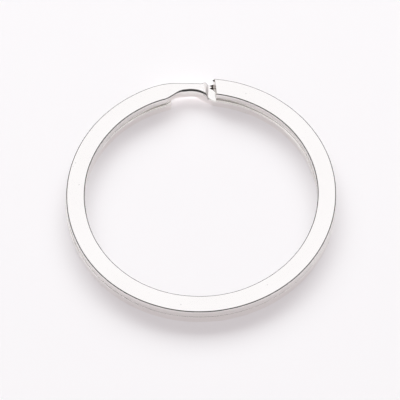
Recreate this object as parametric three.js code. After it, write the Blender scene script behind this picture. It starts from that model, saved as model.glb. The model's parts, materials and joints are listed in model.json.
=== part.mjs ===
// A split key ring: one strip of plated spring steel, wound two turns flat on itself.
//
// The upper turn lies on the lower one. At the crossover the strip is pinched to a narrow waist and steps down
// from the upper turn to the lower one, and both free ends stop there: the upper end just past the step, the
// lower end just before it, under the upper turn. A key is fed in at an end and slid round between the turns.
//
// A free end that is prised open takes half its turn with it. The other half, next to the crossover, stays put,
// so each turn pivots at the place opposite the crossover, about a line along the strip's outer edge. The strip
// is cut there, and the halves are cut into lengths short enough for each to be nearly straight.
//
// Millimetres and degrees, +Z up. The origin is the ring's centre, on the face that it lies on. Places along
// the strip are measured on its middle line from the crossover, and grow down the lower turn, which runs
// clockwise seen from above, so the upper turn has the negative ones.

import * as THREE from "three";

// The strip and the ring it makes.
const OUTER_DIAMETER = 30;
const STRIP_WIDTH = 2.1; // across its flat faces, from the outer wall to the inner one
const STRIP_THICKNESS = 1.1;
const TURN_GAP = 0.05; // between the upper turn and the lower one
const EDGE_RADIUS = 0.13; // along the strip's four edges
const CROSSOVER_BEARING = 92; // the crossover's middle, anticlockwise from +X

// The crossover. Each span is where a change starts and ends along the strip.
const WAIST_WIDTH = 0.98; // the pinched strip, from its outer wall to its inner one
const WAIST_TUCK = 0.3; // how far the waist's outer wall stands in from the ring's
const WAIST_SINK = 0.45; // how far the waist's top lies under the upper turn's
const WAIST_CLEARANCE = 0.5; // from the waist's underside to what the ring lies on
const UNDERSIDE_DROP = [-2.5, -1];
const UNDERSIDE_SETTLE = [0.1, 1.4];
const TOP_SETTLE = [-4.1, -0.6];
const TOP_DROP = [1.2, 1.8];
const OUTER_PINCH = [-2.6, 0.9];
const OUTER_RELEASE = [0.9, 1.7];
const INNER_PINCH = [-3.5, -1];
const INNER_RELEASE = [-0.4, 3.2];

// The two free ends.
const UPPER_END_CLEARANCE = 0.75; // from the foot of the step to the upper end
const LOWER_END_CLEARANCE = 0.1; // from the lower end to where the strip starts down over it
const UPPER_CORNER_RADIUS = 0.1; // seen from above
const LOWER_CORNER_RADIUS = 0.35;
const UPPER_END_SLANT = 0.5; // how much further its outer corner reaches than its inner one
const SLANT_REACH = 1.5; // the stretch over which a square section turns to the slanted one

// How far the turns lie off their circle, and over what stretch.
const UPPER_END_SPREAD = 0.06; // outwards, at the upper end
const LOWER_START_SET_IN = 0.2; // inwards, where the lower turn leaves the crossover
const LOWER_END_SET_IN = 0.2; // inwards, at the lower end
const SPREAD_REACH = 8;
const SET_IN_START = [0.5, 2.5];
const SET_IN_FADE = [12, 26];
const SET_IN_END_REACH = 16;

// The cuts between lengths.
const CUT_GAP = 0.05;
const PIVOT_BEARING = 180; // the cut where a turn pivots, from the crossover
const ROOT_LENGTHS = 6; // from the crossover to the pivot
const ARM_LENGTHS = 6; // from the pivot to the free end, which is the last of them

// How finely the solids are stepped.
const PLAIN_STEP = 0.75; // along a plain length
const CROSSOVER_STEP = 0.18;
const CROWDED_STEPS = 12; // in a length whose steps crowd towards the crossover or a free end
const CORNER_SEGMENTS = 1; // an arc is drawn with twice as many

// What follows from them.
const OUTER_RADIUS = OUTER_DIAMETER / 2;
const INNER_RADIUS = OUTER_RADIUS - STRIP_WIDTH;
const MIDDLE_RADIUS = OUTER_RADIUS - STRIP_WIDTH / 2;
const WAIST_INNER_RADIUS = OUTER_RADIUS - WAIST_TUCK - WAIST_WIDTH;
const UPPER_LIFT = STRIP_THICKNESS + TURN_GAP; // the upper turn's underside above the lower turn's
const MM_PER_DEGREE = (2 * Math.PI * MIDDLE_RADIUS) / 360;
const WHOLE_TURN = 2 * Math.PI * MIDDLE_RADIUS;
const UPPER_END = TOP_DROP[1] + UPPER_END_CLEARANCE - WHOLE_TURN;
const LOWER_END = WHOLE_TURN + UNDERSIDE_DROP[0] - LOWER_END_CLEARANCE;

// 0 before a span, 1 after it, and a smooth step between.
const risen = (along, [from, to]) => THREE.MathUtils.smoothstep(along, from, to);

// How much a wall stands in at a distance from an end whose corners have this radius, seen from above.
function cornerCut(distance, radius) {
  const inside = Math.max(0, radius - distance);
  return radius - Math.sqrt(radius ** 2 - inside ** 2);
}

// How far off its circle the strip lies at a place along it, outwards.
function offCircle(along) {
  const spread = 1 - risen(along, [UPPER_END, UPPER_END + SPREAD_REACH]);
  const start = risen(along, SET_IN_START) - risen(along, SET_IN_FADE);
  const end = risen(along, [LOWER_END - SET_IN_END_REACH, LOWER_END]);
  return UPPER_END_SPREAD * spread - LOWER_START_SET_IN * start - LOWER_END_SET_IN * end;
}

// The strip's four walls at a place along it: two radii and two heights.
function wallsAt(along) {
  const cut =
    cornerCut(along - UPPER_END, UPPER_CORNER_RADIUS) +
    cornerCut(LOWER_END - along, LOWER_CORNER_RADIUS);
  const tuck = risen(along, OUTER_PINCH) - risen(along, OUTER_RELEASE);
  const pinch = risen(along, INNER_PINCH) - risen(along, INNER_RELEASE);
  const off = offCircle(along);
  return {
    outer: OUTER_RADIUS - WAIST_TUCK * tuck + off - cut,
    inner: INNER_RADIUS + (WAIST_INNER_RADIUS - INNER_RADIUS) * pinch + off + cut,
    bottom:
      UPPER_LIFT -
      (UPPER_LIFT - WAIST_CLEARANCE) * risen(along, UNDERSIDE_DROP) -
      WAIST_CLEARANCE * risen(along, UNDERSIDE_SETTLE),
    top:
      UPPER_LIFT +
      STRIP_THICKNESS -
      WAIST_SINK * risen(along, TOP_SETTLE) -
      (UPPER_LIFT - WAIST_SINK) * risen(along, TOP_DROP),
  };
}

// A point of the section moved to the walls there. Each rounded edge keeps its radius and moves with its wall.
const between = (value, size, low, high) => (value < size / 2 ? low + value : high - (size - value));

// The strip's section: a rectangle with rounded edges, its width along x and its thickness along y.
function section() {
  const shape = new THREE.Shape();
  const right = STRIP_WIDTH - EDGE_RADIUS;
  const high = STRIP_THICKNESS - EDGE_RADIUS;
  const quarter = Math.PI / 2;
  shape.absarc(right, EDGE_RADIUS, EDGE_RADIUS, -quarter, 0);
  shape.absarc(right, high, EDGE_RADIUS, 0, quarter);
  shape.absarc(EDGE_RADIUS, high, EDGE_RADIUS, quarter, 2 * quarter);
  shape.absarc(EDGE_RADIUS, EDGE_RADIUS, EDGE_RADIUS, 2 * quarter, 3 * quarter);
  return shape;
}

// One length of the strip: a straight bar, wound onto the turn and drawn to its walls.
// spacing maps an even share of the length to where that step lies, to crowd steps where the shape changes.
function windLength(from, to, steps, spacing) {
  const geometry = new THREE.ExtrudeGeometry(section(), {
    depth: 1,
    steps,
    curveSegments: CORNER_SEGMENTS,
    bevelEnabled: false,
  });
  const points = geometry.getAttribute("position");
  for (let i = 0; i < points.count; i += 1) {
    const along = from + (to - from) * spacing(points.getZ(i));
    const walls = wallsAt(along);
    const radius = between(points.getX(i), STRIP_WIDTH, walls.inner, walls.outer);
    const height = between(points.getY(i), STRIP_THICKNESS, walls.bottom, walls.top);
    const slanted = 1 - risen(along, [UPPER_END, UPPER_END + SLANT_REACH]);
    const slant = (UPPER_END_SLANT * slanted * (MIDDLE_RADIUS - radius)) / STRIP_WIDTH;
    const bearing = THREE.MathUtils.degToRad((along + slant) / MM_PER_DEGREE);
    points.setXYZ(i, radius * Math.cos(bearing), -radius * Math.sin(bearing), height);
  }
  geometry.computeVertexNormals();
  return geometry;
}

const even = (share) => share;
const crowdedAtStart = (share) => share ** 2;
const crowdedAtEnd = (share) => 1 - (1 - share) ** 2;

// Bright nickel plating, almost a mirror.
const plating = () => new THREE.MeshStandardMaterial({ color: 0xe6e4e3, roughness: 0.12, metalness: 1 });

function addLength(group, name, from, to, steps, spacing) {
  const mesh = new THREE.Mesh(windLength(from, to, steps, spacing), plating());
  mesh.name = name;
  group.add(mesh);
}

// The waist and the step between the two turns.
function makeCrossover() {
  const group = new THREE.Group();
  const [from, to] = [UNDERSIDE_DROP[0], TOP_DROP[1]];
  addLength(group, "crossover", from, to, Math.ceil((to - from) / CROSSOVER_STEP), even);
  return group;
}

// The places of one turn's cuts, counted from the crossover, each with the name of the length beyond it.
function cutsOf(start, end) {
  const pivot = PIVOT_BEARING * MM_PER_DEGREE;
  const cuts = [];
  for (let i = 0; i < ROOT_LENGTHS; i += 1) {
    cuts.push({ name: `root_${i + 1}`, at: start + ((pivot - start) * i) / ROOT_LENGTHS });
  }
  for (let i = 0; i < ARM_LENGTHS; i += 1) {
    const name = i === ARM_LENGTHS - 1 ? "free_end" : `arm_${i + 1}`;
    cuts.push({ name, at: pivot + ((end - pivot) * i) / ARM_LENGTHS });
  }
  return cuts;
}

// One turn from the crossover to its free end. direction is 1 on the lower turn and -1 on the upper one.
function makeTurn(turnName, direction, start, end) {
  const group = new THREE.Group();
  const cuts = cutsOf(start, end);
  cuts.forEach(({ name, at }, i) => {
    const isFirst = i === 0;
    const isLast = i === cuts.length - 1;
    const near = at + CUT_GAP / 2 + (isFirst ? CUT_GAP / 2 : 0);
    const far = isLast ? end : cuts[i + 1].at - CUT_GAP / 2;
    const [from, to] = direction > 0 ? [near, far] : [-far, -near];
    const crowdAtStart = direction > 0 ? isFirst : isLast;
    const crowdAtEnd = direction > 0 ? isLast : isFirst;
    const spacing = crowdAtStart ? crowdedAtStart : crowdAtEnd ? crowdedAtEnd : even;
    const steps = spacing === even ? Math.ceil((to - from) / PLAIN_STEP) : CROWDED_STEPS;
    addLength(group, `${turnName}_${name}`, from, to, steps, spacing);
  });
  return group;
}

// The ring, turned so that its crossover is at the back.
const ring = new THREE.Group();
ring.rotation.z = THREE.MathUtils.degToRad(CROSSOVER_BEARING);
ring.add(
  makeCrossover(),
  makeTurn("upper", -1, -UNDERSIDE_DROP[0], -UPPER_END),
  makeTurn("lower", 1, TOP_DROP[1], LOWER_END),
);

export default new THREE.Group().add(ring);
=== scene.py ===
# %% [markdown]
# # A split key ring
# A split ring is one piece of flat spring steel, wound two turns on itself and plated with nickel. The packed
# model holds its true size and how its two ends spring open. This file gives it the look of the real thing:
# soft rounded edges, a pinched crossover, sheared ends and a bright, slightly worn plating.

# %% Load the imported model
import json
import math

import bpy
import numpy as np
from mathutils import Matrix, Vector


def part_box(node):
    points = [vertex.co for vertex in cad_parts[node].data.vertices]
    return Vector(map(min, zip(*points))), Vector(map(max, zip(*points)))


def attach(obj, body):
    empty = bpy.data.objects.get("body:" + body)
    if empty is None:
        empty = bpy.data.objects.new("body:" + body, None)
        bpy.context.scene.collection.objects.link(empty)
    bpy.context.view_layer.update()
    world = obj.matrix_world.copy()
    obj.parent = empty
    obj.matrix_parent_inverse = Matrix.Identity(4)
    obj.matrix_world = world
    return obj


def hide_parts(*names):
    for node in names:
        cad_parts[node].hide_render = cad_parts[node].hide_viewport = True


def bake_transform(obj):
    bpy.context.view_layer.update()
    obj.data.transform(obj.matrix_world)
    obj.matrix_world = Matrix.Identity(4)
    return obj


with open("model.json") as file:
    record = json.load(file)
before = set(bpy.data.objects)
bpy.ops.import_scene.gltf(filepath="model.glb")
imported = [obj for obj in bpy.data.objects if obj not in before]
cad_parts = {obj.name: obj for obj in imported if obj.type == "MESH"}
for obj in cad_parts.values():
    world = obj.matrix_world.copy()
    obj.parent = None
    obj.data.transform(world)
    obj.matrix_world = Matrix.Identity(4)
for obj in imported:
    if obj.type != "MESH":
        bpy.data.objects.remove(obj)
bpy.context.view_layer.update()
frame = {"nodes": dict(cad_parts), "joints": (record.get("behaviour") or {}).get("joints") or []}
MM = 0.001

# %% [markdown]
# ## Measure the ring
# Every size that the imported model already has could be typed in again, but then the two would have to be
# kept in step by hand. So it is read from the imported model. A length of each turn where the strip is plain
# gives the two radii, the strip's thickness, and how far the upper turn lies above the lower one.

# %% The strip's sizes
def node_points(name):
    """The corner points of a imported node, as an array of rows x, y, z."""
    mesh = frame["nodes"][name].data
    flat = np.empty(len(mesh.vertices) * 3)
    mesh.vertices.foreach_get("co", flat)
    return flat.reshape(-1, 3)


plain_points = node_points("upper_root_5")
plain_radii = np.hypot(plain_points[:, 0], plain_points[:, 1])
OUTER_RADIUS = plain_radii.max()
INNER_RADIUS = plain_radii.min()
MIDDLE_RADIUS = (OUTER_RADIUS + INNER_RADIUS) / 2
lower_low, lower_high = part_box("lower_root_5")
upper_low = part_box("upper_root_5")[0]
THICKNESS = lower_high.z - lower_low.z
LIFT = upper_low.z - lower_low.z
print("radii", INNER_RADIUS / MM, OUTER_RADIUS / MM, "thickness", THICKNESS / MM, "lift", LIFT / MM)

# %% [markdown]
# ### Places along the strip
# A place is the distance from the crossover, measured along the middle of the strip. It grows down the lower
# turn, which runs clockwise seen from above, and it is negative on the upper turn. The hinges tell where the
# crossover is, because each turn pivots opposite to it, and the two free ends are where the strip stops.

# %% The crossover's bearing and the two ends
PIVOT = {joint["child"]: joint for joint in frame["joints"]}
pivot_x, pivot_y = PIVOT["upper_arm"]["pos_m"][:2]
CROSSOVER_BEARING = math.atan2(pivot_y, pivot_x) + math.pi
WHOLE_TURN = 2 * math.pi * MIDDLE_RADIUS
QUARTER = WHOLE_TURN / 4


def farthest(name, direction):
    """How far a node reaches along the strip from the crossover: the angle, turning clockwise for
    direction 1 and anticlockwise for -1, times the middle radius."""
    points = node_points(name)
    bearing = np.arctan2(points[:, 1], points[:, 0])
    angle = (direction * (CROSSOVER_BEARING - bearing)) % (2 * math.pi)
    return direction * angle.max() * MIDDLE_RADIUS


UPPER_END = farthest("upper_free_end", -1)
LOWER_END = farthest("lower_free_end", 1)
print("ends at", UPPER_END / MM, LOWER_END / MM, "mm from the crossover")

# %% [markdown]
# ## The strip as a surface of two parameters
# The strip could be a bent tube with a bevel, but its section changes on the way: it is pinched at the
# crossover, and its ends are sheared. So it is worked out as one surface. The first parameter is the place
# along the strip, the second goes round its section, and a few smooth steps say where each wall lies.

# %% Smooth steps
def span(start, end):
    """Where a change starts and ends along the strip, from places in mm."""
    return start * MM, end * MM


def share(place, between):
    """How far a place is through a span: 0 before it, 1 after it."""
    start, end = between
    return np.clip((place - start) / (end - start), 0, 1)


def rise(place, between):
    """0 before a span, 1 after it, and 3t^2 - 2t^3 inside it, where t is the share of the way."""
    t = share(place, between)
    return t * t * (3 - 2 * t)


def slump(place, between):
    """0 before a span, 1 after it, and t^2 inside it: it starts softly and ends at a crease."""
    return share(place, between) ** 2


def rise_and_fall(place, up, down):
    """0 at first, 1 once the span called up is passed, and 0 again once the one called down is passed."""
    return rise(place, up) - rise(place, down)


def bump(place, middle, reach):
    """1 at the middle, falling as exp(-(distance / reach)^2)."""
    return np.exp(-(((place - middle) / reach) ** 2))


print("a quarter of the way:", rise(0.25, (0, 1)), "of a rise and", slump(0.25, (0, 1)), "of a slump")

# %% [markdown]
# ### Off the circle
# A wound ring is never a true circle. Its upper end springs out a little, the upper turn's left side and both
# ends of the lower turn lie in, and the walls wave by a few thousandths of a millimetre. A perfect circle
# would be simpler, but the reflections in it would be too even. The waves are sums of sines, so no random
# numbers are needed.

# %% How far the strip lies off its circle
UPPER_END_SPREAD = 0.06 * MM
SPREAD_REACH = 8 * MM
SIDE_SET_IN = 0.14 * MM
SIDE_REACH = 9 * MM
LOWER_SET_IN = 0.2 * MM
SET_IN_START = span(0.5, 2.5)
SET_IN_FADE = span(12, 26)
SET_IN_END_REACH = 16 * MM
WANDER = 0.006 * MM
WANDER_WAVES = [(9.7, 1.0), (4.3, 0.5), (2.3, 0.25)]  # each one's length in mm and its share of WANDER


def off_circle(along):
    """How far the strip lies outside its circle: the upper end springs out, and the upper turn's left side
    and both ends of the lower turn lie in."""
    spread = UPPER_END_SPREAD * (1 - rise(along, (UPPER_END, UPPER_END + SPREAD_REACH)))
    side = SIDE_SET_IN * bump(along, -QUARTER, SIDE_REACH)
    start = LOWER_SET_IN * rise_and_fall(along, SET_IN_START, SET_IN_FADE)
    end = LOWER_SET_IN * rise(along, (LOWER_END - SET_IN_END_REACH, LOWER_END))
    return spread - side - start - end


def wander(along, phase):
    """A slow wave made of three sines whose lengths don't divide into each other."""
    angle = 2 * math.pi * along / MM
    return WANDER * sum(size * np.sin(angle / length + phase * length) for length, size in WANDER_WAVES)


print("off the circle at the two ends, in mm:", off_circle(np.array([UPPER_END, LOWER_END])) / MM)

# %% [markdown]
# ### The walls
# The outer and inner walls are radii, and the underside and the top are heights. At the crossover the strip
# is pinched to a waist that lies under the upper turn's top, and then it steps down to the lower turn. The
# step's top face falls a little earlier at its outer edge than at its inner one.

# %% Where the four walls lie
WAIST_WIDTH = 0.98 * MM
WAIST_TUCK = 0.3 * MM
WAIST_SINK = 0.45 * MM
WAIST_CLEARANCE = 0.5 * MM
OUTER_PINCH = span(-2.6, 0.9)
OUTER_RELEASE = span(0.9, 1.7)
INNER_PINCH = span(-3.5, -1.0)
INNER_RELEASE = span(-0.4, 3.2)
UNDERSIDE_DROP = span(-2.5, -1.0)
UNDERSIDE_SETTLE = span(0.1, 1.4)
TOP_SETTLE = span(-4.1, -0.6)
OUTER_TOP_DROP = span(1.35, 1.72)
INNER_TOP_DROP = span(1.5, 1.8)


def walls(along):
    """Outer radius, inner radius, underside, and the top's height at the outer and at the inner wall, at
    each place: the plain strip, less each pinch and drop times its own smooth step. The outer wall wanders
    half as much as the inner one, and only inwards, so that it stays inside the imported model's box."""
    tuck = WAIST_TUCK * rise_and_fall(along, OUTER_PINCH, OUTER_RELEASE)
    waist_inner = OUTER_RADIUS - WAIST_TUCK - WAIST_WIDTH
    pinch = (waist_inner - INNER_RADIUS) * rise_and_fall(along, INNER_PINCH, INNER_RELEASE)
    outer = OUTER_RADIUS - tuck + off_circle(along) - WANDER + wander(along, phase=1) / 2
    inner = INNER_RADIUS + pinch + off_circle(along) + wander(along, phase=2)
    fall = (LIFT - WAIST_CLEARANCE) * rise(along, UNDERSIDE_DROP)
    under = LIFT - fall - WAIST_CLEARANCE * rise(along, UNDERSIDE_SETTLE)
    sunk = LIFT + THICKNESS - WAIST_SINK * rise(along, TOP_SETTLE)
    top_outer = sunk - (LIFT - WAIST_SINK) * slump(along, OUTER_TOP_DROP)
    top_inner = sunk - (LIFT - WAIST_SINK) * slump(along, INNER_TOP_DROP)
    return outer, inner, under, top_outer, top_inner


print("walls at the crossover, in mm:", [round(float(wall[0]) / MM, 2) for wall in walls(np.zeros(1))])

# %% [markdown]
# ### The rounded section
# A Bevel modifier would round all the edges alike. On the real strip they differ: soft along the top, nearly
# sharp where the turns touch, and widest at the waist. So each corner is drawn as part of a circle with its
# own radius. The top and the underside are flat, but rolling leaves the two walls slightly bowed, so each
# wall is part of a wide circle that the corners run into.

# %% One side of the section
BOW = math.radians(7)
ARC_STEPS = 8
WALL_STEPS = 6


def arc(centre_x, centre_z, radius, start, end, steps):
    """Points of a circle from one angle to another: centre plus radius times (cos, sin)."""
    angle = np.linspace(start, end, steps + 1)
    x = centre_x[:, None] + radius[:, None] * np.cos(angle)
    z = centre_z[:, None] + radius[:, None] * np.sin(angle)
    return np.stack([x, z], axis=-1)


def bowed_side(crown, under, top, low_radius, high_radius):
    """One side of the section, from the underside up to the top: a corner, a wide arc whose crown touches the
    wall, and the other corner. The wide arc tilts by the bow at its foot and at its head, and so its radius
    is its height over twice the bow's sine."""
    low_corner = low_radius * (1 - math.sin(BOW))
    high_corner = high_radius * (1 - math.sin(BOW))
    wide = (top - under - low_corner - high_corner) / (2 * math.sin(BOW))
    middle = under + low_corner + wide * math.sin(BOW)
    low_x = crown - wide + (wide - low_radius) * math.cos(BOW)
    high_x = crown - wide + (wide - high_radius) * math.cos(BOW)
    low = arc(low_x, under + low_radius, low_radius, -math.pi / 2, -BOW, ARC_STEPS)
    wall = arc(crown - wide, middle, wide, -BOW, BOW, WALL_STEPS)
    high = arc(high_x, top - high_radius, high_radius, BOW, math.pi / 2, ARC_STEPS)
    return np.concatenate([low, wall[:, 1:-1], high], axis=1)


print("points up one side of the section:", 2 * (ARC_STEPS + 1) + WALL_STEPS - 1)

# %% [markdown]
# ### Round the whole section
# Two bowed sides, with the flat top and underside between them, close the section. Each point keeps its
# number all along the strip, so the rows can be joined without any searching.

# %% The section's points
TOP_EDGE = 0.125 * MM
FRONT_CREASE = 0.02 * MM
BACK_CREASE = 0.04 * MM
WAIST_TOP_EDGE = 0.26 * MM
WAIST_FOOT_EDGE = 0.28 * MM
WAIST_LEAN = 0.14 * MM
WAIST_START = span(-2.2, -0.8)
WAIST_FINISH = span(1.4, 2.6)
EDGE_TO_CREASE = span(1.4, 2.4)
FRONT_TO_BACK = (-0.3, 0.5)  # cosines of the angle from the crossover
FLAT_STEPS = 20


def at_waist(along):
    """1 at the waist, 0 away from it."""
    return rise_and_fall(along, WAIST_START, WAIST_FINISH)


def section(along):
    """Radius and height of each point round the section, as arrays of place by point: the outer side going
    up, the top, the inner side going down and the underside."""
    outer, inner, under, top_outer, top_inner = walls(along)
    waist = at_waist(along)
    crease = FRONT_CREASE + (BACK_CREASE - FRONT_CREASE) * rise(np.cos(along / MIDDLE_RADIUS), FRONT_TO_BACK)
    low_edge = crease + (WAIST_FOOT_EDGE - crease) * waist
    outer_edge = TOP_EDGE + (crease - TOP_EDGE) * rise(along, EDGE_TO_CREASE)
    inner_edge = outer_edge + (WAIST_TOP_EDGE - outer_edge) * waist
    outer_side = bowed_side(outer, under, top_outer, low_edge, outer_edge)
    inner_side = bowed_side(-inner, under, top_inner, low_edge, inner_edge)[:, ::-1] * np.array([-1, 1])
    down = (top_inner[:, None] - inner_side[..., 1]) / (top_inner - under)[:, None]
    inner_side[..., 0] -= (WAIST_LEAN * waist)[:, None] * down
    across = (np.arange(1, FLAT_STEPS) / FLAT_STEPS)[None, :, None]
    top_face = outer_side[:, -1:] * (1 - across) + inner_side[:, :1] * across
    underside = inner_side[:, -1:] * (1 - across) + outer_side[:, :1] * across
    points = np.concatenate([outer_side, top_face, inner_side, underside], axis=1)
    return points[..., 0], points[..., 1]


print("points round the section:", section(np.zeros(1))[0].shape[1])

# %% [markdown]
# ### How the upper end was sheared
# A shear cuts the strip from one side, so the end face slants and leans, and small burrs are left on it. They
# could be modelled by hand, one by one. Here the slant, the lean and the burrs are heights over the face, so
# that the face is still one function of its radius and height.

# %% The upper end's face
UPPER_SLANT = 0.5 * MM
UPPER_LEAN = 0.1 * MM
SLANT_REACH = 1.5 * MM
# Each burr's radius, height, reach and size, in mm.
BURRS = [(14.8, 2.12, 0.11, 0.2), (14.55, 1.36, 0.14, 0.5), (13.3, 1.9, 0.2, 0.06)]
BURR_STRETCH = 1.3  # how much farther a burr reaches in height than across


def lean_back(radius, height):
    """How far the upper end's face stands back from the farthest point: the slant across it, as a share
    of the width, and the lean of its top, as the square of the share of the height."""
    across = (OUTER_RADIUS - radius) / (OUTER_RADIUS - INNER_RADIUS)
    up = np.clip((height - LIFT) / THICKNESS, 0, 1)
    return UPPER_SLANT * across + UPPER_LEAN * up**2


def end_burrs(radius, height):
    """How far the burrs stand out of the upper end: the sum of one bump for each, a product of a bump across
    the strip and a bump up it."""
    out = 0.0
    for at_radius, at_height, reach, size in BURRS:
        across = bump(radius, at_radius * MM, reach * MM)
        out = out + size * MM * across * bump(height, at_height * MM, BURR_STRETCH * reach * MM)
    return out


print("the largest burr stands out by", max(size for *_, size in BURRS), "mm")

# %% [markdown]
# ### Onto the ring
# The section is a flat drawing until it is laid on the circle. Turning each point about the ring's axis does
# it in one step, and it keeps the walls upright, which a curve with a bevel wouldn't promise.

# %% The strip's points in space
LOWER_CORNER = 0.35 * MM


def lie_on_ring(along, radius, height):
    """x, y, z of points on the wound strip: the bearing falls by the place along over the middle radius."""
    bearing = CROSSOVER_BEARING - along / MIDDLE_RADIUS
    return np.stack([radius * np.cos(bearing), radius * np.sin(bearing), height], axis=-1)


def corner_cut(distance):
    """How much a wall stands in near the lower end, whose corners are quarter circles seen from above."""
    inside = np.clip(LOWER_CORNER - distance, 0, LOWER_CORNER)
    return LOWER_CORNER - np.sqrt(LOWER_CORNER**2 - inside**2)


def strip_rows(along):
    """Rows of points round the strip at each place along it. Near the lower end a row is drawn in towards
    its middle by the corner's cut, and near the upper end it slants by the same rule as the end's face."""
    radius, height = section(along)
    outermost = radius.max(axis=1, keepdims=True)
    middle = (outermost + radius.min(axis=1, keepdims=True)) / 2
    cut = corner_cut(LOWER_END - along)[:, None]
    radius = middle + (radius - middle) * (1 - cut / (outermost - middle))
    near_end = (1 - rise(along, (UPPER_END, UPPER_END + SLANT_REACH)))[:, None]
    return lie_on_ring(along[:, None] + lean_back(radius, height) * near_end, radius, height)


print("a row of the strip:", strip_rows(np.zeros(1)).shape[1:])

# %% [markdown]
# ### The end caps
# The rim of a sheared end is rolled over by the blade. One flat face with a bevel would leave no points for
# the burrs. So a cap is more rows of the same section: the first ones follow a quarter circle round the rim,
# and the rest are drawn in step by step towards the middle of the face.

# %% Rows over an end face
CAP_ROUNDING = 0.05 * MM
RIM_STEPS = 4
FACE_STEPS = 8
FACE_DRAWN_IN = 0.94  # the last row's share of the way from the rim to the middle


def sheared_cap(end, direction):
    """Rows from the end's rim to the middle of its face, each by how far it is set in from the rim and how
    far it stands out. direction is 1 where the strip ends going on, -1 where it starts."""
    radius, height = section(np.array([end]))
    middle_radius = (radius.max() + radius.min()) / 2
    middle_height = (height.max() + height.min()) / 2
    half_section = (radius.max() - radius.min()) / 2
    half_width = half_section - (LOWER_CORNER if direction > 0 else 0)
    half_height = (height.max() - height.min()) / 2
    angle = np.linspace(0, math.pi / 2, RIM_STEPS + 1)[1:]
    drawn_in = np.linspace(CAP_ROUNDING, FACE_DRAWN_IN * half_height, FACE_STEPS + 1)[1:]
    set_in = np.concatenate([CAP_ROUNDING * (1 - np.cos(angle)), drawn_in])[:, None]
    out = np.concatenate([CAP_ROUNDING * np.sin(angle), np.full(FACE_STEPS, CAP_ROUNDING)])[:, None]
    narrowed = (radius - middle_radius) * half_width / half_section
    radius = middle_radius + narrowed * (1 - set_in / half_width)
    height = middle_height + (height - middle_height) * (1 - set_in / half_height)
    place = end + direction * (out - CAP_ROUNDING)
    if direction < 0:
        inside_rim = np.minimum(1, set_in / CAP_ROUNDING)
        place = place + lean_back(radius, height) - end_burrs(radius, height) * inside_rim
    return lie_on_ring(place, radius, height)


print("rows in an end cap:", len(sheared_cap(LOWER_END, 1)))

# %% [markdown]
# ### Where the rows go
# Even rows would be too coarse for the step and far too many for the plain turns. So the rows crowd together
# at the crossover and the ends, and most of all at the step down.

# %% Places of the rows
PLAIN_STEP = 0.25 * MM
FINE_STEP = 0.045 * MM
DROP_STEP = 0.015 * MM
CROSSOVER_REACH = 3.2 * MM
END_REACH = 1 * MM
DROP_MIDDLE = 1.65 * MM
DROP_REACH = 0.3 * MM
MEASURED_PLACES = 4000


def places(start, end):
    """Places from start to end, closer together near the crossover and the free ends: equal shares of the
    running sum of one over the step wanted there."""
    fine = np.linspace(start, end, MEASURED_PLACES)
    crowded = ((0, CROSSOVER_REACH), (UPPER_END, END_REACH), (LOWER_END, END_REACH))
    near = np.maximum.reduce([bump(fine, middle, reach) for middle, reach in crowded])
    at_drop = bump(fine, DROP_MIDDLE, DROP_REACH)
    density = 1 / (PLAIN_STEP + (FINE_STEP - PLAIN_STEP) * near) + at_drop / DROP_STEP
    total = np.concatenate([[0], np.cumsum((density[1:] + density[:-1]) / 2 * np.diff(fine))])
    count = int(math.ceil(total[-1])) + 1
    return np.interp(np.linspace(0, total[-1], count), total, fine)


print("rows from end to end:", len(places(UPPER_END, LOWER_END)))

# %% [markdown]
# ### What the plating needs to know
# Two numbers are kept at each point of the mesh, for the materials to read. One tells how much the point
# belongs to a rounded top edge, where a dark reflection is painted. The other tells how much it belongs to a
# burr, where shade is painted. A mask worked out from the object's coordinates could do the same, but it
# would have to repeat the strip's whole shape in nodes.

# %% Edges and burrs, point by point
FULLY_TORN = 0.3 * MM


def edge_weights(along):
    """How much each point belongs to a top edge: 0 where a top corner starts and ends and 1 at its middle,
    as the sine of pi times the share of the corner's steps, on the upper turn and the waist only."""
    top_corner = np.sin(np.linspace(0, math.pi, ARC_STEPS + 1))
    foot_corner = np.zeros(ARC_STEPS + 1)
    wall = np.zeros(WALL_STEPS - 1)
    flat = np.zeros(FLAT_STEPS - 1)
    outer_side = [foot_corner, wall, top_corner]
    inner_side = [top_corner, wall, foot_corner]
    round_section = np.concatenate([*outer_side, flat, *inner_side, flat])
    on_top = 1 - rise(along, EDGE_TO_CREASE)
    return on_top[:, None] * round_section


def burr_weights(rows):
    """How much each point of an end face belongs to a burr, where shade is painted: how far the burrs stand
    out there, over the reach at which they count in full."""
    out = end_burrs(np.hypot(rows[..., 0], rows[..., 1]), rows[..., 2])
    return np.clip(out / FULLY_TORN, 0, 1)


print("edge weights round the section add up to", round(float(edge_weights(np.zeros(1)).sum()), 2))

# %% [markdown]
# ### From rows of points to a closed mesh
# Each row is joined to the next with four-sided faces, and the last row at each end is closed with one
# many-sided face. The map that goes with them measures metres along the strip and round it, so a pattern
# can follow the way the strip was drawn. An automatic unwrapping would cut the strip into pieces and lose
# that direction.

# %% The parts of a mesh
def strip_faces(count, around):
    """Faces between each row and the next, then one over the first row and one over the last."""
    index = np.arange(count * around).reshape(count, around)
    turned = np.roll(index, -1, axis=1)
    quads = np.stack([index[:-1], index[1:], turned[1:], turned[:-1]], axis=-1).reshape(-1, 4)
    return [*quads.tolist(), index[0].tolist(), index[-1][::-1].tolist()]


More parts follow.
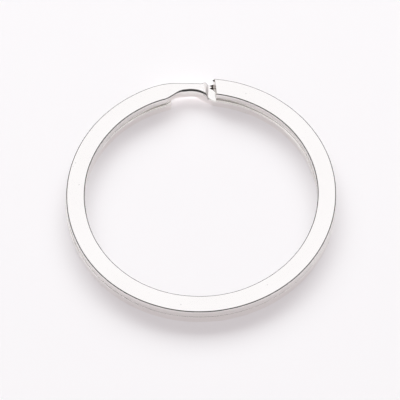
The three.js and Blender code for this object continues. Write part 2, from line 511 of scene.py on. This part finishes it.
def lay_metre_map(mesh, rows, along):
    """A map whose u is the place along the strip and whose v is the distance round the section: the running
    sum of the mean length of each step. The two closing faces stay at 0, 0."""
    count, around = rows.shape[:2]
    step = np.linalg.norm(np.roll(rows, -1, axis=1) - rows, axis=-1).mean(axis=0)
    girth = np.concatenate([[0], np.cumsum(step)])
    u = np.broadcast_to(along[:, None], (count, around))
    here, beyond = (np.broadcast_to(v, (count - 1, around)) for v in (girth[:-1], girth[1:]))
    corners_u = np.stack([u[:-1], u[1:], u[1:], u[:-1]], axis=-1)
    corners_v = np.stack([here, here, beyond, beyond], axis=-1)
    corners = np.stack([corners_u, corners_v], axis=-1).reshape(-1, 2)
    loops = np.zeros((len(mesh.loops), 2), np.float32)
    loops[: len(corners)] = corners
    mesh.uv_layers.new(name="strip").uv.foreach_set("vector", loops.ravel())


def keep_at_points(mesh, name, weights):
    """An attribute of one number at each point."""
    attribute = mesh.attributes.new(name, "FLOAT", "POINT")
    attribute.data.foreach_set("value", weights.astype(np.float32).ravel())


def sharpen_end_rims(mesh, count, around):
    """Mark the edges of the first and the last row as sharp, so that the closing faces shade as flat."""
    pairs = np.empty(len(mesh.edges) * 2, np.int32)
    mesh.edges.foreach_get("vertices", pairs)
    row = pairs.reshape(-1, 2) // around
    mesh.edges.foreach_set("use_edge_sharp", (row == 0).all(axis=1) | (row == count - 1).all(axis=1))


print("faces of the shortest closed tube:", len(strip_faces(2, section(np.zeros(1))[0].shape[1])))

# %% [markdown]
# ### One piece of the strip
# The plating covers the piece in its first material slot, and the sheared faces, which are rougher, take the
# second. Which faces are sheared follows from how many cap rows were added at each end.

# %% Build one piece
def mesh_of(name, rows, along, cap_rows):
    """A closed, smooth mesh from rows of points, with its map, its attributes and its two slots."""
    count, around = rows.shape[:2]
    first, last = cap_rows
    mesh = bpy.data.meshes.new(name)
    mesh.from_pydata(rows.reshape(-1, 3).tolist(), [], strip_faces(count, around))
    lay_metre_map(mesh, rows, along)
    keep_at_points(mesh, "edge", edge_weights(along))
    keep_at_points(mesh, "burr_shade", burr_weights(rows))
    row = np.arange((count - 1) * around) // around
    in_cap = (row < first) | (row >= count - 1 - last)
    slots = np.concatenate([in_cap, [first > 0, last > 0]]).astype(np.int32)
    mesh.polygons.foreach_set("material_index", slots)
    mesh.polygons.foreach_set("use_smooth", np.ones(len(slots), bool))
    sharpen_end_rims(mesh, count, around)
    mesh.update()
    return mesh


def strip_piece(name, start, end):
    """One piece of the strip from start to end, with a sheared cap where it reaches a free end."""
    along = places(start, end)
    rows = strip_rows(along)
    first = last = 0
    if start == UPPER_END:
        cap = sheared_cap(start, -1)[::-1]
        first = len(cap)
        rows = np.concatenate([cap, rows])
        along = np.concatenate([np.full(first, start), along])
    if end == LOWER_END:
        cap = sheared_cap(end, 1)
        last = len(cap)
        rows = np.concatenate([rows, cap])
        along = np.concatenate([along, np.full(last, end)])
    piece = bpy.data.objects.new(name, mesh_of(name, rows, along, (first, last)))
    bpy.context.scene.collection.objects.link(piece)
    return piece


# %% [markdown]
# ## The seven pieces
# The real strip is one piece, but its parts don't move alike. The back of each turn stays put. The front of a
# turn bends when its end is opened; here it is a piece of its own, not attached to any body, and the last
# quarter of the turn rides on its arm. The crossover stays put as well. It is a piece of its own so that it
# alone can throw reflected light on the board.

# %% Make the pieces
PIECE_NODES = {
    "back_strip": [f"root_{i}" for i in (1, 2, 3)],
    "front_strip": [*[f"root_{i}" for i in (4, 5, 6)], *[f"arm_{i}" for i in (1, 2, 3)]],
    "end_strip": ["arm_4", "arm_5", "free_end"],
}
CROSSOVER_START = -4.2 * MM
CROSSOVER_END = 2.2 * MM


def nodes_of(turn, part):
    """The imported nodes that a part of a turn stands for."""
    return [f"{turn}_{node}" for node in PIECE_NODES[part]]


def make_back(name, start, end, nodes):
    """A piece of the back of the ring, which doesn't move."""
    back = strip_piece(name, start, end)
    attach(back, "ring_back")
    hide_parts(*nodes)
    return back


def make_front(turn, start, end):
    """The front of a turn, with its placing baked into its points and its imported nodes hidden. It is not
    attached to any body."""
    front = strip_piece(f"{turn}_front_strip", start, end)
    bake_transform(front)
    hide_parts(*nodes_of(turn, "front_strip"))
    return front


def make_tip(turn, start, end):
    """The last quarter of a turn, with its free end."""
    tip = strip_piece(f"{turn}_end_strip", start, end)
    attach(tip, f"{turn}_arm")
    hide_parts(*nodes_of(turn, "end_strip"))
    return tip


strips = [
    make_back("upper_back_strip", -QUARTER, CROSSOVER_START, nodes_of("upper", "back_strip")),
    make_back("crossover_strip", CROSSOVER_START, CROSSOVER_END, ["crossover"]),
    make_back("lower_back_strip", CROSSOVER_END, QUARTER, nodes_of("lower", "back_strip")),
    make_front("upper", -3 * QUARTER, -QUARTER),
    make_tip("upper", UPPER_END, -3 * QUARTER),
    make_front("lower", QUARTER, 3 * QUARTER),
    make_tip("lower", 3 * QUARTER, LOWER_END),
]
for piece in strips:
    print(piece.name, len(piece.data.polygons), "faces")

# %% [markdown]
# ## Small helpers for materials
# A material is a graph of nodes. Making each node by hand takes four or five lines, so the few kinds that
# the ring and its studio need have a helper each, which adds the node and gives back its output. The first
# helpers read a texture, a map or an attribute.

# %% Helpers that read something
def new_material(name):
    """A material with its node tree and its shader."""
    material = bpy.data.materials.new(name)
    material.use_nodes = True
    return material, material.node_tree, material.node_tree.nodes["Principled BSDF"]


def noise(tree, vector, scale, detail, roughness):
    """A noise texture read at the given vector."""
    node = tree.nodes.new("ShaderNodeTexNoise")
    node.inputs["Scale"].default_value = scale
    node.inputs["Detail"].default_value = detail
    node.inputs["Roughness"].default_value = roughness
    tree.links.new(vector, node.inputs["Vector"])
    return node.outputs["Fac"]


def stretched(tree, vector, scale):
    """A vector with each of its parts multiplied by its own scale."""
    node = tree.nodes.new("ShaderNodeMapping")
    node.inputs["Scale"].default_value = scale
    tree.links.new(vector, node.inputs["Vector"])
    return node.outputs["Vector"]


def split(tree, vector):
    """The parts of a vector, as the outputs X, Y and Z."""
    node = tree.nodes.new("ShaderNodeSeparateXYZ")
    tree.links.new(vector, node.inputs["Vector"])
    return node.outputs


def attribute(tree, name):
    """A number that is kept at the mesh's points."""
    node = tree.nodes.new("ShaderNodeAttribute")
    node.attribute_name = name
    return node.outputs["Fac"]


# %% [markdown]
# ### Working with what was read
# The other helpers change a number's range, join numbers, mix two colours, or turn a height into a bump. A
# ramp from 0 to 1 is used so often, for a soft limit, that it has two helpers of its own.

# %% Helpers that work something out
def remap(tree, value, old, new):
    """Straight-line change from one range to another, held at both ends."""
    node = tree.nodes.new("ShaderNodeMapRange")
    for socket, number in zip(("From Min", "From Max", "To Min", "To Max"), (*old, *new)):
        node.inputs[socket].default_value = number
    tree.links.new(value, node.inputs["Value"])
    return node.outputs["Result"]


def past(tree, value, between):
    """0 before a range, 1 after it."""
    return remap(tree, value, between, (0.0, 1.0))


def short_of(tree, value, between):
    """1 before a range, 0 after it."""
    return remap(tree, value, between, (1.0, 0.0))


def calculate(tree, operation, *terms):
    """The output of one Math node. Each term is a number or an output."""
    node = tree.nodes.new("ShaderNodeMath")
    node.operation = operation
    for socket, term in zip(node.inputs, terms):
        if isinstance(term, (int, float)):
            socket.default_value = term
        else:
            tree.links.new(term, socket)
    return node.outputs["Value"]


def combine(tree, operation, first, *others):
    """Any number of terms joined by one operation, by a chain of Math nodes."""
    result = first
    for other in others:
        result = calculate(tree, operation, result, other)
    return result


def mix_colours(tree, factor, first, second):
    """The first colour where the factor is 0, the second where it is 1. Each is a colour or an output."""
    node = tree.nodes.new("ShaderNodeMix")
    node.data_type = "RGBA"
    tree.links.new(factor, node.inputs["Factor"])
    for socket, colour in (("A", first), ("B", second)):
        if isinstance(colour, tuple):
            node.inputs[socket].default_value = colour
        else:
            tree.links.new(colour, node.inputs[socket])
    return node.outputs["Result"]


def carve(tree, shader, height, strength, distance):
    """A bump that shades the surface as if it had this height."""
    node = tree.nodes.new("ShaderNodeBump")
    node.inputs["Strength"].default_value = strength
    node.inputs["Distance"].default_value = distance
    tree.links.new(height, node.inputs["Height"])
    tree.links.new(node.outputs["Normal"], shader.inputs["Normal"])


# %% [markdown]
# ## The plating
# Bright nickel is nearly a mirror, a little warmer than chrome. Drawn strip keeps faint lines along its
# length, tumbling rubs fine marks into it in all directions, and a few small pits show through. Scanned
# textures would show the same scratches on every ring, so all of these are noise, read in the object's own
# coordinates or in the strip's map. Two things are laid in the plating itself. The rounded top edges carry a
# painted reflection: their colour is darkened because they would mirror the dark side of a room, which this
# bright studio doesn't have. And the face that was pressed at the step is rougher and less metallic.

# %% Bright nickel
NICKEL = (0.94, 0.918, 0.9, 1)
NICKEL_CLOUDED = (0.915, 0.89, 0.87, 1)
DRAWING_STRETCH = (0.04, 1.0, 1.0)
DRAWING_SCALE = 9000
RUB_SCALE = 2600
RUB_RANGE = (0.5, 0.75)
RUB_ROUGHNESS = (0.0, 0.09)
CLOUD_SCALE = 260
CLOUD_RANGE = (0.35, 0.7)
CLOUD_ROUGHNESS = (0.05, 0.11)
PIT_SCALE = 900
PIT_DARK_RANGE = (0.03, 0.1)
PIT_SHADE = (0.85, 1.0)
PIT_WALL_RANGE = (0.03, 0.12)
PIT_HEIGHT = (-1.0, 0.0)
MARKS_STRENGTH = 0.12
MARKS_DEPTH = 0.004 * MM
PRESSED_FADE = 0.08 * MM
PRESSED_ALONG = span(1.3, 1.82)
PRESSED_GIRTH = span(1.1, 3.0)  # the top face, measured round the section from the foot of the outer side
PRESSED_ROUGHNESS = 0.25
PRESSED_METAL = 0.3
# Painted reflection on the top edges: across the edge weight, the colour falls to this share.
EDGE_RANGE = (0.15, 0.9)
EDGE_SHADE = (1.0, 0.07)


def faded(tree, value, limits):
    """1 between two limits, 0 farther than the fade outside them."""
    start, end = limits
    inside = past(tree, value, (start - PRESSED_FADE, start))
    return combine(tree, "MULTIPLY", inside, short_of(tree, value, (end, end + PRESSED_FADE)))


def bright_nickel():
    """Metal whose roughness wanders between almost a mirror and a light rub, with drawing lines, rub marks
    and pits as a very low bump, a painted dark reflection on the top edges and a duller pressed face."""
    material, tree, shader = new_material("bright_nickel")
    place = tree.nodes.new("ShaderNodeTexCoord").outputs["Object"]
    strip_map = tree.nodes.new("ShaderNodeUVMap")
    strip_map.uv_map = "strip"
    on_strip = strip_map.outputs["UV"]
    lines = noise(tree, stretched(tree, on_strip, DRAWING_STRETCH), DRAWING_SCALE, detail=3, roughness=0.6)
    rubs = noise(tree, place, RUB_SCALE, detail=4, roughness=0.65)
    clouds = noise(tree, place, CLOUD_SCALE, detail=2, roughness=0.5)
    pits = tree.nodes.new("ShaderNodeTexVoronoi")
    pits.inputs["Scale"].default_value = PIT_SCALE
    tree.links.new(place, pits.inputs["Vector"])
    from_pit = pits.outputs["Distance"]

    along_strip = split(tree, on_strip)
    pressed_length = faded(tree, along_strip["X"], PRESSED_ALONG)
    pressed = combine(tree, "MULTIPLY", pressed_length, faded(tree, along_strip["Y"], PRESSED_GIRTH))
    cloudy = remap(tree, clouds, CLOUD_RANGE, CLOUD_ROUGHNESS)
    rubbed = remap(tree, rubs, RUB_RANGE, RUB_ROUGHNESS)
    dented = combine(tree, "MULTIPLY", pressed, PRESSED_ROUGHNESS)
    tree.links.new(combine(tree, "ADD", cloudy, rubbed, dented), shader.inputs["Roughness"])
    tree.links.new(remap(tree, pressed, (0.0, 1.0), (1.0, PRESSED_METAL)), shader.inputs["Metallic"])

    # Each pit's colour is darker towards its middle.
    speck = remap(tree, from_pit, PIT_DARK_RANGE, PIT_SHADE)
    # Painted reflection: the colour of the top edges is darkened where they would mirror a dark room.
    painted_edge_reflection = remap(tree, attribute(tree, "edge"), EDGE_RANGE, EDGE_SHADE)
    worn = tree.nodes.new("ShaderNodeVectorMath")
    worn.operation = "SCALE"
    tree.links.new(mix_colours(tree, clouds, NICKEL, NICKEL_CLOUDED), worn.inputs["Vector"])
    tree.links.new(combine(tree, "MULTIPLY", speck, painted_edge_reflection), worn.inputs["Scale"])
    tree.links.new(worn.outputs["Vector"], shader.inputs["Base Color"])

    pitted = remap(tree, from_pit, PIT_WALL_RANGE, PIT_HEIGHT)
    carve(tree, shader, combine(tree, "ADD", lines, rubs, pitted), MARKS_STRENGTH, MARKS_DEPTH)
    return material


plating = bright_nickel()
print(plating.name, "has", len(plating.node_tree.nodes), "nodes")

# %% [markdown]
# ## The sheared faces
# Shearing tears the steel across the strip before the ring is plated, so the ends are rougher and mottled.
# Their burrs are painted near black, as painted shade and a painted dark reflection. This stands for the
# shadow in them and for the dark they would mirror. Modelling every tear would need a very fine mesh.
# Stretched noise, used as a bump and as a stain, gives the same look on a face this small.

# %% The sheared nickel
SHEARED = (0.95, 0.91, 0.88, 1)
MOTTLED = (0.34, 0.29, 0.27, 1)
# Painted shade and painted dark reflection on the burrs.
PAINTED_BURR_SHADE = (0.07, 0.055, 0.05, 1)
TEAR_STRETCH = (1.0, 1.0, 0.15)
TEAR_SCALE = 7000
TEAR_RANGE = (0.3, 0.7)
TEAR_ROUGHNESS = (0.1, 0.26)
TEAR_STRENGTH = 0.5
TEAR_DEPTH = 0.02 * MM
PATCH_SCALE = 3000
PATCH_RANGE = (0.48, 0.68)
BURR_SHADE_RANGE = (0.15, 0.6)


def sheared_nickel():
    """The same plating over a sheared face: rougher, with soft dark patches, painted shade and a painted dark
    reflection on the burrs, and tearing lines.
    """
    material, tree, shader = new_material("sheared_nickel")
    shader.inputs["Metallic"].default_value = 1.0
    place = tree.nodes.new("ShaderNodeTexCoord").outputs["Object"]
    grain = noise(tree, stretched(tree, place, TEAR_STRETCH), TEAR_SCALE, detail=4, roughness=0.6)
    patches = past(tree, noise(tree, place, PATCH_SCALE, detail=2, roughness=0.5), PATCH_RANGE)
    # The burrs are painted near black: painted shade and a painted dark reflection.
    burr_shade = past(tree, attribute(tree, "burr_shade"), BURR_SHADE_RANGE)
    colour = mix_colours(tree, burr_shade, mix_colours(tree, patches, SHEARED, MOTTLED), PAINTED_BURR_SHADE)
    tree.links.new(colour, shader.inputs["Base Color"])
    tree.links.new(remap(tree, grain, TEAR_RANGE, TEAR_ROUGHNESS), shader.inputs["Roughness"])
    carve(tree, shader, grain, TEAR_STRENGTH, TEAR_DEPTH)
    return material


sheared = sheared_nickel()
print(sheared.name, "has", len(sheared.node_tree.nodes), "nodes")

# %% [markdown]
# ### Plate the pieces
# A mirror throws bright curves of light on the board that it stands on, and round the ring they would be too
# strong. They could be softened with a rougher metal, but then the metal would look dull. So the board's
# diffuse light doesn't see the pieces, apart from the crossover, which brightens the board at its foot.

# %% Give the pieces their materials
for piece in strips:
    piece.visible_diffuse = piece.name == "crossover_strip"
    piece.data.materials.append(plating)
    piece.data.materials.append(sheared)
print("pieces that light the board:", [piece.name for piece in strips if piece.visible_diffuse])

# %% [markdown]
# ## The studio
# A mirror shows its surroundings, so these matter as much as the metal. The ring lies on a sheet of white
# board. A large plane is all that it needs, because the edges of the board are never seen.

# %% The white board
BOARD_REACH = 0.8
BOARD_WHITE = (0.93, 0.925, 0.93, 1)
BOARD_ROUGHNESS = 0.9


def make_floor():
    """A flat sheet of matt white board under the ring."""
    corners = [(x * BOARD_REACH, y * BOARD_REACH, 0) for x, y in ((-1, -1), (1, -1), (1, 1), (-1, 1))]
    mesh = bpy.data.meshes.new("floor")
    mesh.from_pydata(corners, [], [(0, 1, 2, 3)])
    floor = bpy.data.objects.new("floor", mesh)
    bpy.context.scene.collection.objects.link(floor)
    material, _, shader = new_material("white_board")
    shader.inputs["Base Color"].default_value = BOARD_WHITE
    shader.inputs["Roughness"].default_value = BOARD_ROUGHNESS
    shader.inputs["Specular IOR Level"].default_value = 0.0
    mesh.materials.append(material)


make_floor()
print("the board reaches", BOARD_REACH, "m each way")

# %% [markdown]
# ### What the metal mirrors
# The room is mid grey, so that the flat faces look like metal from every side. Three pale parts stand out of
# it: a box of light high over the back, an arch low at both sides, and a narrow band high in front, with a
# gap in its middle. They could be real lamps, but then they would light the board as well. Painted on the
# world, which the board's diffuse light doesn't see, they are there for the metal alone.

# %% The surroundings
ROOM_GREY = (0.5, 0.49, 0.485, 1)
ROOM_PALE = (1.055, 1.055, 1.075, 1)
# Where each pale part starts or ends, in the direction's x, y or z.
BOX_FOOT = (0.64, 0.72)
BOX_LEFT = (-0.3, -0.2)
BOX_RIGHT = (0.36, 0.44)
BOX_FRONT = (0.1, 0.2)
ARCH_DEPTH = (0.24, 0.34)
ARCH_FOOT = (0.05, 0.12)
ARCH_SIDE = (0.28, 0.38)
ARCH_SHARE = 0.7
BAND_FOOT = (0.68, 0.72)
BAND_HEAD = (0.79, 0.82)
BAND_BACK = (0.3, 0.4)
BAND_GAP = (0.1, 0.2)


def make_world():
    """Grey, and pale where the box, the arch or the band is: each is the product of a ramp for every side
    it has, and the strongest of the three counts."""
    world = bpy.data.worlds.new("studio")
    bpy.context.scene.world = world
    world.cycles_visibility.diffuse = False
    world.use_nodes = True
    tree = world.node_tree
    direction = split(tree, tree.nodes.new("ShaderNodeTexCoord").outputs["Generated"])
    x, y, z = direction["X"], direction["Y"], direction["Z"]
    aside = calculate(tree, "ABSOLUTE", x)
    depth = calculate(tree, "ABSOLUTE", y)
    box_sides = [past(tree, x, BOX_LEFT), short_of(tree, x, BOX_RIGHT), past(tree, y, BOX_FRONT)]
    box = combine(tree, "MULTIPLY", past(tree, z, BOX_FOOT), *box_sides)
    arch_sides = [short_of(tree, depth, ARCH_DEPTH), past(tree, aside, ARCH_SIDE)]
    arch = combine(tree, "MULTIPLY", past(tree, z, ARCH_FOOT), *arch_sides, ARCH_SHARE)
    band_sides = [short_of(tree, z, BAND_HEAD), short_of(tree, y, BAND_BACK), past(tree, aside, BAND_GAP)]
    band = combine(tree, "MULTIPLY", past(tree, z, BAND_FOOT), *band_sides)
    pale = combine(tree, "MAXIMUM", box, arch, band)
    room = mix_colours(tree, pale, ROOM_GREY, ROOM_PALE)
    tree.links.new(room, tree.nodes["Background"].inputs["Color"])
    return world


print("the surroundings have", len(make_world().node_tree.nodes), "nodes")

# %% [markdown]
# ### What lights the board
# Two lamps light the board, and the metal doesn't mirror either of them. A wide light behind the ring throws
# soft shadows towards the viewer. A faint sun from straight above lifts them evenly, and has no shadow of its
# own. One larger lamp would be simpler, but it couldn't set how dark the shadows are.

# %% The lights on the board
BACK_POWER = 12.4
BACK_COLOUR = (0.94, 0.985, 0.99)
BACK_WIDTH = 1.68
BACK_HEIGHT = 0.75
BACK_ELEVATION = math.radians(42)
BACK_DISTANCE = 1.2
FILL_STRENGTH = 1.99
FILL_COLOUR = (1.0, 0.937, 0.955)
FILL_HEIGHT = 0.5


def hang_lamp(name, light, location):
    """Hang a lamp at its place and turn it to shine at the ring. The metal doesn't mirror it."""
    lamp = bpy.data.objects.new(name, light)
    bpy.context.scene.collection.objects.link(lamp)
    lamp.location = location
    lamp.rotation_mode = "QUATERNION"
    lamp.rotation_quaternion = lamp.location.to_track_quat("Z", "Y")
    lamp.visible_glossy = False


def make_back_light():
    """A wide, low, slightly blue light behind the ring, which throws its soft shadows towards the viewer."""
    light = bpy.data.lights.new("back_light", "AREA")
    light.shape = "RECTANGLE"
    light.size = BACK_WIDTH
    light.size_y = BACK_HEIGHT
    light.energy = BACK_POWER
    light.color = BACK_COLOUR
    behind = BACK_DISTANCE * math.cos(BACK_ELEVATION)
    up = BACK_DISTANCE * math.sin(BACK_ELEVATION)
    hang_lamp("back_light", light, (0, behind, up))


def make_fill():
    """A faint warm fill from straight above, without shadows of its own."""
    light = bpy.data.lights.new("fill", "SUN")
    light.energy = FILL_STRENGTH
    light.color = FILL_COLOUR
    light.use_shadow = False
    hang_lamp("fill", light, (0, 0, FILL_HEIGHT))


make_back_light()
make_fill()
print("back light", BACK_POWER, "W, fill", FILL_STRENGTH)

# %% [markdown]
# ## The camera
# A short lens close to the ring would make its near side look bigger. A long lens far away keeps the circle
# almost without perspective. It looks down at a steep angle, rolled a little.

# %% Make the camera
VIEW_ELEVATION = math.radians(59.47)
VIEW_ROLL = math.radians(-2.22)
VIEW_DISTANCE = 0.6
VIEW_TARGET = np.array([-0.08, 0.535, 0.0]) * MM
SENSOR_WIDTH = 36.0
LENS = 487.62
CLIP_START = 0.01
CLIP_END = 10


def make_camera():
    """The camera stands at the distance back along its own axis; its right and up are turned by the roll."""
    back_way = np.array([0, -math.cos(VIEW_ELEVATION), math.sin(VIEW_ELEVATION)])
    right = np.array([1.0, 0, 0])
    up = np.cross(back_way, right)
    turned_right = math.cos(VIEW_ROLL) * right + math.sin(VIEW_ROLL) * up
    turned_up = -math.sin(VIEW_ROLL) * right + math.cos(VIEW_ROLL) * up
    data = bpy.data.cameras.new("camera")
    data.sensor_width = SENSOR_WIDTH
    data.lens = LENS
    data.clip_start = CLIP_START
    data.clip_end = CLIP_END
    camera = bpy.data.objects.new("camera", data)
    bpy.context.scene.collection.objects.link(camera)
    matrix = np.eye(4)
    matrix[:3] = np.column_stack([turned_right, turned_up, back_way, VIEW_TARGET + back_way * VIEW_DISTANCE])
    camera.matrix_world = Matrix(matrix.tolist())
    bpy.context.scene.camera = camera


make_camera()
bpy.context.scene.view_settings.view_transform = "Standard"
print("camera at", [round(v, 3) for v in bpy.context.scene.camera.matrix_world.translation])
